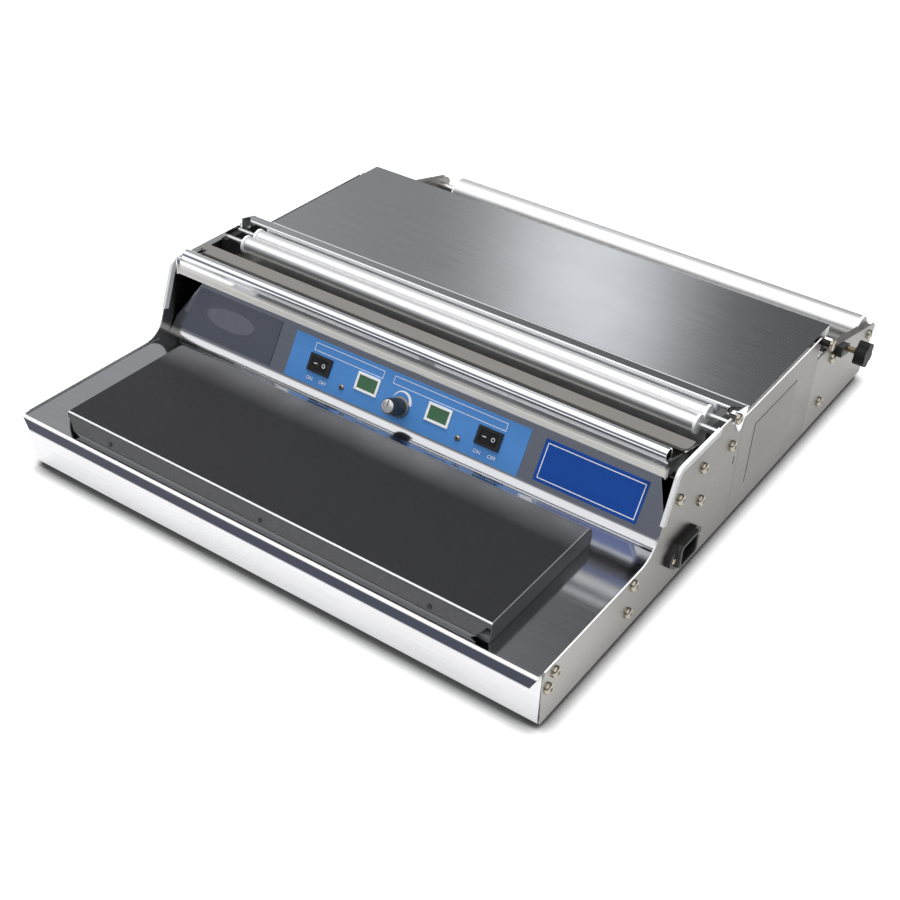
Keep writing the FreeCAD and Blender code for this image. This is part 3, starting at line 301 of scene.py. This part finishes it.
# Finishes: metals, foils, coats, plastics, boards, films and inks
ALONG_X = (0.012, 1, 1)
ALONG_Y = (1, 0.012, 1)
FINISHES = {
    "zinc_steel": dict(base=(0.35, 0.35, 0.34), rough=0.4, metallic=1.0, grain=80),
    "bright_steel": dict(base=(0.88, 0.88, 0.89), rough=0.3, metallic=1.0, grain=900, stretch=ALONG_X,
                         bump=0.02),
    "brushed_steel": dict(base=(0.62, 0.63, 0.65), rough=0.12, metallic=1.0, spread=0.04, tone=0.04,
                          grain=1500, stretch=ALONG_X, bump=0.02, edge=0.0005, paint_light_and_shade=lip_painted_shade,
                          paint_bright_line=lip_painted_highlights),
    "side_steel": dict(base=(0.29, 0.28, 0.26), rough=0.3, metallic=1.0, tone=0.04, grain=1500,
                       stretch=ALONG_Y, bump=0.03, edge=0.0004),
    # Side steel copy that carries painted light: darker, with a painted sheen towards the front and painted
    # highlights on upturned faces
    "side_steel_painted_light": dict(base=(0.235, 0.228, 0.212), rough=0.3, metallic=1.0, tone=0.04, grain=1500,
                             stretch=ALONG_Y, bump=0.03, edge=0.0004, paint_light_and_shade=side_front_sheen,
                             paint_bright_line=upturned_face_highlights),
    "cover_steel": dict(base=(0.62, 0.625, 0.63), rough=0.2, metallic=1.0, spread=0.03, tone=0.08,
                        grain=1500, stretch=ALONG_X, bump=0.05, edge=0.0005),
    "polished_steel": dict(base=(0.92, 0.93, 0.95), rough=0.09, metallic=1.0, spread=0.03, tone=0.02,
                           grain=300, bump=0.0, paint_bright_line=hood_highlight),
    "dark_steel": dict(base=(0.3, 0.3, 0.31), rough=0.5, metallic=0.2, grain=500, bump=0.05),
    "rail_grey": dict(base=(0.27, 0.27, 0.28), rough=0.4, metallic=0.3, grain=500, bump=0.03),
    "roller_aluminium": dict(base=(0.97, 0.97, 0.97), rough=0.3, metallic=0.8, spread=0.02, tone=0.015,
                             grain=900, bump=0.0),
    "heater_alloy": dict(base=(0.5, 0.48, 0.45), rough=0.4, metallic=1.0),
    "nickel": dict(base=(0.5, 0.45, 0.36), rough=0.18, metallic=1.0, grain=300, bump=0.02),
    "brass_metal": dict(base=(0.25, 0.2, 0.12), rough=0.35, metallic=1.0, grain=300),
    "transformer_iron": dict(base=(0.09, 0.085, 0.08), rough=0.5, metallic=0.4, grain=500),
    "silver_foil": dict(base=(0.75, 0.75, 0.76), rough=0.3, metallic=0.7, grain=800, bump=0.03),
    "rating_foil": dict(base=(0.25, 0.245, 0.235), rough=0.38, metallic=1.0, tone=0.04, grain=900,
                        bump=0.03),
    "slate_foil": dict(base=(0.4, 0.41, 0.45), rough=0.25, metallic=0.9, spread=0.02, tone=0.01,
                       grain=900, bump=0.0),
    "slate_plate": dict(base=(0.3, 0.315, 0.35), rough=0.2, metallic=0.9, tone=0.04, grain=1200,
                        bump=0.03),
    "ptfe_black": dict(base=(0.014, 0.014, 0.016), rough=0.33, tone=0.7, grain=1100, bump=0.9,
                       depth=0.0005, spec=0.4, edge=0.0006, paint_light_and_shade=plate_painted_light),
    "ptfe_taupe": dict(base=(0.18, 0.173, 0.158), rough=0.5, tone=0.12, grain=2500, bump=0.2),
    "white_plastic": dict(base=(0.9, 0.9, 0.9), rough=0.35, tone=0.02, grain=400, bump=0.03, edge=0.0004),
    "black_plastic": dict(base=(0.016, 0.016, 0.016), rough=0.42, tone=0.2, grain=900, bump=0.05,
                          edge=0.0003),
    "rocker_black": dict(base=(0.012, 0.012, 0.012), rough=0.24, tone=0.2, grain=500, bump=0.02,
                         edge=0.0003),
    "star_black": dict(base=(0.012, 0.012, 0.012), rough=0.5, tone=0.2, grain=700, bump=0.08, spec=0.25,
                       edge=0.0005),
    "knob_grey": dict(base=(0.035, 0.04, 0.05), rough=0.35, grain=700, bump=0.04),
    "green_lens": dict(base=(0.06, 0.15, 0.075), rough=0.2, grain=500, bump=0.02, coat=0.3),
    "rubber_black": dict(base=(0.02, 0.02, 0.02), rough=0.7, grain=800, bump=0.2),
    "fibre_board": dict(base=(0.03, 0.03, 0.03), rough=0.7, tone=0.25, grain=900, bump=0.3),
    "green_board": dict(base=(0.03, 0.14, 0.06), rough=0.35, grain=500),
    "blue_label": dict(base=(0.075, 0.25, 0.6), rough=0.4, tone=0.05, grain=1500, bump=0.03),
    "navy_label": dict(base=(0.003, 0.06, 0.33), rough=0.3, tone=0.05, grain=1500, bump=0.02),
    "white_ink": dict(base=(0.87, 0.88, 0.9), rough=0.45, tone=0.03, grain=1500, bump=0.02),
    "black_ink": dict(base=(0.015, 0.015, 0.016), rough=0.45, tone=0.03, grain=1500, bump=0.02),
}
FINISH = {name: material(name, **values) for name, values in FINISHES.items()}

# Nodes whose finish differs from the rest of their slot
OWN_FINISH = {
    "side_plate_left": "side_steel_painted_light",
    "side_plate_right": "side_steel_painted_light",
    "side_cover_left": "side_steel_painted_light",
    "side_cover_right": "side_steel_painted_light",
    "rating_plate": "rating_foil",
    "oval_plate": "slate_foil",
    "star_knob": "star_black",
    "shoulder_screws": "star_black",
}
for node_name, node in NODES.items():
    for held in node.material_slots:
        held.material = FINISH[OWN_FINISH.get(node_name, NODE_SLOTS[node_name])]


# Mesh helpers
def skin(levels, parts, base=0, looped=False):
    """Faces over stacked rings of parts points from point base on, with end caps unless looped."""
    faces = []
    for level in range(levels if looped else levels - 1):
        low = base + level * parts
        high = base + (level + 1) % levels * parts
        for i in range(parts):
            j = (i + 1) % parts
            faces.append((low + i, low + j, high + j, high + i))
    if not looped:
        last = base + (levels - 1) * parts
        faces.append(tuple(base + i for i in reversed(range(parts))))
        faces.append(tuple(last + i for i in range(parts)))
    return faces


def add_piece(name, body, verts, faces, finish):
    """Mesh piece in one finish that rides on a body."""
    mesh = bpy.data.meshes.new(name)
    mesh.from_pydata(verts, [], faces)
    mesh.update()
    obj = bpy.data.objects.new(name, mesh)
    scene.collection.objects.link(obj)
    mesh.materials.append(FINISH[finish])
    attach(obj, body)
    return obj


def fluted(radius, angle, waves=0, depth=0):
    """Radius at an angle of a ring that swings inward by depth between its crests."""
    return radius - depth * (0.5 - 0.5 * math.cos(waves * angle))


SHARP_FROM = math.radians(38)


def turned(name, body, slot_name, rings, parts, places, replaced=None):
    """Piece turned round an axis, once at each place. A ring is (radius, height), or those and its
    waves and their depth, in mm."""
    verts, faces = [], []
    for place in places:
        faces += skin(len(rings), parts, len(verts))
        for radius, height, *waves in rings:
            for i in range(parts):
                angle = 2 * math.pi * i / parts
                reach = fluted(radius, angle, *waves)
                point = Vector((reach * math.cos(angle), reach * math.sin(angle), height))
                verts.append(place @ (point * MM))
    obj = add_piece(name, body, verts, faces, slot_name)
    for polygon in obj.data.polygons:
        polygon.use_smooth = len(polygon.vertices) == 4
    obj.data.set_sharp_from_angle(angle=SHARP_FROM)
    if replaced:
        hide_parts(replaced)


# Screw heads, with painted shade filling their cross recesses
RECESS_REACH = 0.46
RECESS_ARMS = 4
SCREW_TURN = math.radians(25)


def pan_head(radius, height):
    """Domed head that narrows to the mouth of its cross recess."""
    rim = radius * RECESS_REACH
    dome = [(1, 0), (1, 0.3), (0.96, 0.55), (0.84, 0.8), (0.66, 0.95)]
    mouth = (rim, height, RECESS_ARMS, rim * 0.5)
    floor = (rim * 0.92, height * 0.5, RECESS_ARMS, rim * 0.5)
    return [(radius * wide, height * high) for wide, high in dome] + [mouth, floor]


def painted_recess_shade(radius, height):
    """Painted shade: a dark cross that fills a recess to just below its mouth."""
    rim = radius * RECESS_REACH
    steps = [(0.3, 0.52, 0.1), (0.86, 0.54, 0.5), (0.88, 0.56, 0.5), (0.98, 0.94, 0.5)]
    return [(rim * wide, height * high, RECESS_ARMS, rim * depth) for wide, high, depth in steps]


def on_side(y, z, face, side=1):
    """Place on an upright face, at face mm from the middle, with its axis pointing outward."""
    spin = Matrix.Rotation(math.radians(90 * side), 4, "Y") @ Matrix.Rotation(SCREW_TURN, 4, "Z")
    return Matrix.Translation(at(side * face, y, z)) @ spin


SIDE_FACE = machine_box("side_plate_right")[1][0]
SIDE_SCREWS = [(21, -8), (13, -17), (124, -30), (127, -6), (186, 35), (226, 10), (221, 43), (271, 35),
               (476, 13.5), (465.5, -26), (573, -8)]
SIDE_HEAD = (4.55, 2.95)
EAR_FACE = machine_box("cross_strip")[1][0]
EAR_SCREW = (270, 61)
side_places = [on_side(y, z, SIDE_FACE, side) for side in (1, -1) for y, z in SIDE_SCREWS]
side_places += [on_side(*EAR_SCREW, EAR_FACE, side) for side in (1, -1)]

LABEL_TOP = 0.3
PANEL_SCREW_X = 57.3
PANEL_SCREW_S = 8.7
INLET_LOW, INLET_HIGH = machine_box("inlet_body")
INLET_FACE = INLET_HIGH[0]
INLET_Y = (INLET_LOW[1] + INLET_HIGH[1]) / 2
INLET_Z = (INLET_LOW[2] + INLET_HIGH[2]) / 2
INLET_SCREW_HALF = 20
SMALL_HEAD = (2.5, 1.35)
small_places = [Matrix.Translation(on_panel(side * PANEL_SCREW_X, PANEL_SCREW_S, LABEL_TOP)) @ TURN_PANEL
                for side in (-1, 1)]
small_places += [on_side(INLET_Y + side * INLET_SCREW_HALF, INLET_Z, INLET_FACE) for side in (-1, 1)]
turned("side_screw_heads", "machine", "nickel", pan_head(*SIDE_HEAD), 32, side_places, "side_screws")
turned("small_screw_heads", "machine", "nickel", pan_head(*SMALL_HEAD), 24, small_places, "small_screws")
turned("side_screw_recess_shade", "machine", "rocker_black", painted_recess_shade(*SIDE_HEAD), 32, side_places)
turned("small_screw_recess_shade", "machine", "rocker_black", painted_recess_shade(*SMALL_HEAD), 24, small_places)

# The hot plate's front skirt leans back by SKIRT_RUN over SKIRT_RISE
SKIRT_FOOT_Y = 5.8
SKIRT_RISE = 12
SKIRT_RUN = 4.2
SKIRT_SCREW_UP = 3.2
SKIRT_SCREW_Z = 8.2
SKIRT_SCREW_X = 150
SKIRT_HEAD = [(1.9, 0.0), (1.8, 0.45), (0.9, 0.5)]
skirt_screw_y = SKIRT_FOOT_Y + SKIRT_SCREW_UP * SKIRT_RUN / SKIRT_RISE
lean_back = Matrix.Rotation(math.atan2(SKIRT_RISE, SKIRT_RUN), 4, "X")
skirt_places = [Matrix.Translation(at(x, skirt_screw_y, SKIRT_SCREW_Z)) @ lean_back
                for x in (-SKIRT_SCREW_X, 0, SKIRT_SCREW_X)]
turned("plate_screw_heads", "machine", "rocker_black", SKIRT_HEAD, 20, skirt_places)

# Bright head of the cover's right shoulder screw
SHOULDER_LOW, SHOULDER_HIGH = machine_box("shoulder_screws")
SHOULDER_Y = (SHOULDER_LOW[1] + SHOULDER_HIGH[1]) / 2
SHOULDER_Z = (SHOULDER_LOW[2] + SHOULDER_HIGH[2]) / 2
SHOULDER_CAP = 2.3
SHOULDER_HEAD = [(5.25, 0), (5.3, 1.2), (5.0, 2.2), (4.2, 2.7)]
shoulder_place = on_side(SHOULDER_Y, SHOULDER_Z, SHOULDER_HIGH[0] - SHOULDER_CAP)
turned("shoulder_head", "machine", "nickel", SHOULDER_HEAD, 40, [shoulder_place])

# Bent strip below the hot plate's skirt: a profile of (y, z), whose ends are cut back at the foot
RAIL_PROFILE = [(6.7, 3.3), (6.7, 0.05), (8.2, 0.05), (8.2, 1.0), (7.3, 1.2), (7.3, 3.3)]
RAIL_TOP = 3.3
RAIL_HALF = 188.6
RAIL_CUT = 5.0


def plate_front_rail():
    verts = []
    for side in (-1, 1):
        for y, z in RAIL_PROFILE:
            cut = RAIL_CUT * (RAIL_TOP - z) / RAIL_TOP
            verts.append(at(side * (RAIL_HALF - cut), y, z))
    add_piece("plate_front_rail", "machine", verts, skin(2, len(RAIL_PROFILE)), "rail_grey")


plate_front_rail()

# Raised rim of the mains inlet: sections of (half width, half height, corner cut, level)
INLET_RIM = [(16.0, 11.4, 3.0, -0.2), (15.4, 10.9, 3.0, 2.8), (14.6, 10.2, 2.8, 3.3),
             (12.4, 8.3, 2.0, 3.3), (11.9, 7.9, 2.0, 2.6), (11.9, 7.9, 2.0, -0.2)]


def inlet_rim():
    verts = []
    for wide, high, cut, level in INLET_RIM:
        corners = [(wide, high - cut), (wide - cut, high), (cut - wide, high), (-wide, high - cut),
                   (-wide, cut - high), (cut - wide, -high), (wide - cut, -high), (wide, cut - high)]
        verts += [at(INLET_FACE + level, INLET_Y + u, INLET_Z + v) for u, v in corners]
    faces = skin(len(INLET_RIM), 8, looped=True)
    add_piece("inlet_rim", "machine", verts, faces, "black_plastic")


inlet_rim()

# Dial: steel skirt, fluted body and foil disc on one axis
DIAL_S = 13
DIAL_SKIRT = [(8.6, 0.9), (8.8, 1.3), (8.6, 2.3), (7.9, 2.55)]
DIAL_BODY = [(7.2, 2.5, 30, 0.3), (7.1, 9, 30, 0.45), (6.7, 18.6, 30, 0.45), (6.3, 19.6, 30, 0.2),
             (5.9, 20.1)]
DIAL_DISC = [(5.55, 20.2), (5.5, 20.5), (5.2, 20.7)]
dial_places = [Matrix.Translation(on_panel(0, DIAL_S, 0)) @ TURN_PANEL]
turned("knob_skirt", "dial", "zinc_steel", DIAL_SKIRT, 48, dial_places)
turned("knob_body", "dial", "knob_grey", DIAL_BODY, 180, dial_places, "temp_knob")
turned("knob_disc", "dial", "silver_foil", DIAL_DISC, 48, dial_places, "knob_cap")


# Printed marks: an outline is an outer line, an inner line, and whether they close
def frame_outline(x0, x1, s0, s1, line):
    outer = [(x0, s0), (x1, s0), (x1, s1), (x0, s1)]
    inner = [(x0 + line, s0 + line), (x1 - line, s0 + line), (x1 - line, s1 - line), (x0 + line, s1 - line)]
    return outer, inner, True


def ring_outline(centre, radius, line, parts=28):
    turns = [2 * math.pi * i / parts for i in range(parts)]
    outer = [(centre + radius * math.cos(t), radius * math.sin(t)) for t in turns]
    inner = [(centre + (radius - line) * math.cos(t), (radius - line) * math.sin(t)) for t in turns]
    return outer, inner, True


def arc_outline(radius, start, end, first, last, parts=30):
    """Arc from start to end degrees whose line goes from first to last mm wide."""
    outer, inner = [], []
    for i in range(parts + 1):
        t = math.radians(start + (end - start) * i / parts)
        half = (first + (last - first) * i / parts) / 2
        outer.append(((radius + half) * math.cos(t), (radius + half) * math.sin(t)))
        inner.append(((radius - half) * math.cos(t), (radius - half) * math.sin(t)))
    return outer, inner, False


def bar_outline(x0, x1, s0, s1):
    return [(x0, s0), (x1, s0)], [(x0, s1), (x1, s1)], False


INK_THICKNESS = 0.04


def printed(name, outline, x=0, s=0, h=LABEL_TOP, thick=INK_THICKNESS, body="machine", ink="white_ink",
            leans=()):
    """Thin mark on the panel. Each lean is an angle in degrees about a level off the panel."""
    outer, inner, closed = outline
    verts = []
    for far, near in zip(outer, inner):
        for (u, v), level in ((near, h), (near, h + thick), (far, h + thick), (far, h)):
            point = Vector((u, v, level))
            for angle, pivot in leans:
                pivot_point = Vector((0, 0, pivot))
                point = Matrix.Rotation(math.radians(angle), 3, "Y") @ (point - pivot_point) + pivot_point
            verts.append(TURN_PANEL @ (point * MM) + on_panel(x, s, 0))
    add_piece(name, body, verts, skin(len(outer), 4, looped=closed), ink)


WORD_HEIGHT = 4.3
WORD_LIFT = 0.03
WORD_DEPTH = 0.00002


def word(name, text, x, s):
    curve = bpy.data.curves.new(name, "FONT")
    curve.body = text
    curve.size = WORD_HEIGHT * MM
    curve.align_x = "CENTER"
    curve.align_y = "CENTER"
    curve.extrude = WORD_DEPTH
    obj = bpy.data.objects.new(name, curve)
    scene.collection.objects.link(obj)
    obj.matrix_world = Matrix.Translation(on_panel(x, s, LABEL_TOP + WORD_LIFT)) @ TURN_PANEL
    curve.materials.append(FINISH["white_ink"])
    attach(obj, "machine")


TITLE_LOW, TITLE_HIGH = 28.4, 35
printed("title_frame_left", frame_outline(-93.4, -23.2, TITLE_LOW, TITLE_HIGH, 0.45))
printed("title_frame_right", frame_outline(-13, 94.5, TITLE_LOW, TITLE_HIGH, 0.45))
printed("right_outline", frame_outline(131, 215.2, 5.5, 33.7, 0.7))
printed("knob_pointer", bar_outline(-0.45, 0.45, 0.6, 4.9), s=DIAL_S, h=20.71, thick=0.08, body="dial",
        ink="black_ink")
printed("dial_arc", arc_outline(8.3, -4, 168, 2.9, 0.3), x=-0.6, s=17.3)

# Each rocker key has a dash on its left half and a circle on its right half, and leans at rest
KEY_X = 83.2
KEY_S = 18.6
KEY_FACE = 1.31
HALF_LEAN = 12.7
HALF_PIVOT = 1.3
KEY_LEAN = (7, 0.4)
WORD_S = 5.0
for side, body in ((-1, "left_rocker"), (1, "right_rocker")):
    key_x = side * KEY_X
    word("on_word_" + body, "ON", key_x - 6.5, WORD_S)
    word("off_word_" + body, "OFF", key_x + 7.0, WORD_S)
    printed("dash_" + body, bar_outline(-5.4, -2.4, -0.35, 0.35), key_x, KEY_S, KEY_FACE, body=body,
            leans=((HALF_LEAN, HALF_PIVOT), KEY_LEAN))
    printed("circle_" + body, ring_outline(4.0, 1.7, 0.5), key_x, KEY_S, KEY_FACE, body=body,
            leans=((-HALF_LEAN, HALF_PIVOT), KEY_LEAN))


# Studio that the metal mirrors: heights and sides are parts of a unit direction
OVERHEAD = (1.25, 1.25, 1.25)
REAR_WALL = (0.12, 0.12, 0.125)
REAR_WALL_LEFT = (0.42, 0.42, 0.43)
FRONT_LOW = (0.17, 0.185, 0.225)
FRONT_HIGH = (0.35, 0.35, 0.36)
WINDOW = (1.5, 1.56, 1.62)
WINDOW_SIDE = -0.455
WINDOW_HEIGHT = 0.47
BELOW = (0.95, 0.95, 0.95)


def studio_colour(tree):
    """Bright overhead, dim rear wall with one window, low dark slate in front, and a pale floor."""
    coords = tree.node("ShaderNodeTexCoord")
    x, y, z = tree.split(coords.outputs["Generated"])
    level = tree.math("SUBTRACT", 1.0, tree.math("MULTIPLY", z, z))
    side = tree.math("DIVIDE", x, tree.math("SQRT", tree.math("MAXIMUM", level, 0.0001)))
    rear = tree.ramp(y, -0.15, 0.15, smooth=True)
    wall = tree.mix(tree.ramp(side, -0.75, -0.35, smooth=True), REAR_WALL_LEFT, REAR_WALL)
    front = tree.mix(tree.ramp(z, 0.3, 0.6, smooth=True), FRONT_LOW, FRONT_HIGH)
    sky = tree.mix(rear, front, wall)
    window = tree.math("MULTIPLY", tree.near(side, WINDOW_SIDE, 0.0, 0.095),
                       tree.near(z, WINDOW_HEIGHT, 0.06, 0.13))
    sky = tree.mix(tree.math("MULTIPLY", window, rear), sky, WINDOW)
    # The bright roof comes down lower in front than at the rear
    height = tree.math("MULTIPLY_ADD", tree.math("SUBTRACT", 1.0, rear), 0.25, z)
    sky = tree.mix(tree.ramp(height, 0.72, 0.88, smooth=True), sky, OVERHEAD)
    return tree.mix(tree.ramp(z, -0.02, 0.02, 1.0, 0.0), sky, BELOW)


def make_world():
    """The studio lights the machine, and the camera sees plain white behind it."""
    world = bpy.data.worlds.new("studio")
    scene.world = world
    world.use_nodes = True
    world.node_tree.nodes.clear()
    tree = Tree(world.node_tree)
    studio = tree.node("ShaderNodeBackground")
    tree.put(studio.inputs["Color"], studio_colour(tree))
    white = tree.node("ShaderNodeBackground")
    white.inputs["Color"].default_value = (1, 1, 1, 1)
    path = tree.node("ShaderNodeLightPath")
    chosen = tree.node("ShaderNodeMixShader")
    tree.links.new(path.outputs["Is Camera Ray"], chosen.inputs[0])
    tree.links.new(studio.outputs[0], chosen.inputs[1])
    tree.links.new(white.outputs[0], chosen.inputs[2])
    out = tree.node("ShaderNodeOutputWorld")
    tree.links.new(chosen.outputs[0], out.inputs[0])


FLOOR_SIZE = 12
FLOOR_IN_VIEW = 1.0
FLOOR_IN_METAL = 0.55
CONTACT_REACH = 0.018


def make_floor():
    """White to the camera and in the metal, with a painted contact shadow: dark close under the machine."""
    bpy.ops.mesh.primitive_plane_add(size=FLOOR_SIZE, location=(0, 0, 0))
    floor = bpy.context.object
    floor.name = "floor"
    made = bpy.data.materials.new("floor")
    made.use_nodes = True
    tree = Tree(made.node_tree)
    shader = made.node_tree.nodes["Principled BSDF"]
    shader.inputs["Roughness"].default_value = 0.7
    shader.inputs["Specular IOR Level"].default_value = 0.2
    shader.inputs["Emission Color"].default_value = (1, 1, 1, 1)
    # Painted contact shadow: near the machine the floor's colour darkens and its glow to the camera fades
    contact = tree.node("ShaderNodeAmbientOcclusion", samples=12)
    contact.inputs["Distance"].default_value = CONTACT_REACH
    open_sky = tree.ramp(contact.outputs["AO"], 0.5, 0.95)
    tone = tree.mix(tree.noise(3.0, 2.0), (0.4, 0.4, 0.4), (0.42, 0.42, 0.42))
    tree.put(shader.inputs["Base Color"], tree.mix(open_sky, (0.1, 0.1, 0.1), tone))
    path = tree.node("ShaderNodeLightPath")
    seen = tree.math("MULTIPLY", path.outputs["Is Camera Ray"], FLOOR_IN_VIEW)
    seen = tree.math("MULTIPLY", seen, open_sky)
    mirrored = tree.math("MAXIMUM", path.outputs["Is Glossy Ray"], path.outputs["Is Transmission Ray"])
    strength = tree.math("MULTIPLY_ADD", mirrored, FLOOR_IN_METAL, seen)
    tree.put(shader.inputs["Emission Strength"], strength)
    floor.data.materials.append(made)


def lamp(name, place, aim, size, power):
    """Soft lamp that lights the machine but isn't mirrored in it."""
    data = bpy.data.lights.new(name, "AREA")
    data.shape = "RECTANGLE"
    data.size, data.size_y = size
    data.energy = power
    obj = bpy.data.objects.new(name, data)
    scene.collection.objects.link(obj)
    obj.location = place
    obj.visible_glossy = False
    obj.rotation_euler = (Vector(aim) - Vector(place)).to_track_quat("-Z", "Y").to_euler()


# The photograph's camera, solved from the machine's corners
PHOTO_SIDE = 900
FOCAL_LENGTH_PIXELS = 1454.8
SENSOR = 36
CAMERA_PLACE = (555.407, -606.190, 665.908)
CAMERA_YAW = math.radians(32.88)
CAMERA_PITCH = math.radians(35.65)
CAMERA_ROLL = math.radians(-3.36)


def make_camera():
    data = bpy.data.cameras.new("camera")
    data.sensor_width = SENSOR
    data.lens = FOCAL_LENGTH_PIXELS / PHOTO_SIDE * SENSOR
    data.clip_start = 0.05
    data.clip_end = 50
    camera = bpy.data.objects.new("camera", data)
    scene.collection.objects.link(camera)
    scene.camera = camera
    level = math.cos(CAMERA_PITCH)
    forward = Vector((-math.sin(CAMERA_YAW) * level, math.cos(CAMERA_YAW) * level, -math.sin(CAMERA_PITCH)))
    right = Vector((math.cos(CAMERA_YAW), math.sin(CAMERA_YAW), 0))
    down = forward.cross(right)
    across = right * math.cos(CAMERA_ROLL) + down * math.sin(CAMERA_ROLL)
    below = down * math.cos(CAMERA_ROLL) - right * math.sin(CAMERA_ROLL)
    turn = Matrix((across, -below, -forward)).transposed()
    camera.matrix_world = Matrix.Translation(at(*CAMERA_PLACE)) @ turn.to_4x4()


make_world()
make_floor()
lamp("key", (-0.3, 0.35, 2.2), (0, 0, 0), (0.5, 0.5), 30)
lamp("fill", (0.7, -1.7, 1.5), (0, -0.1, 0.05), (1.0, 0.8), 9)
make_camera()
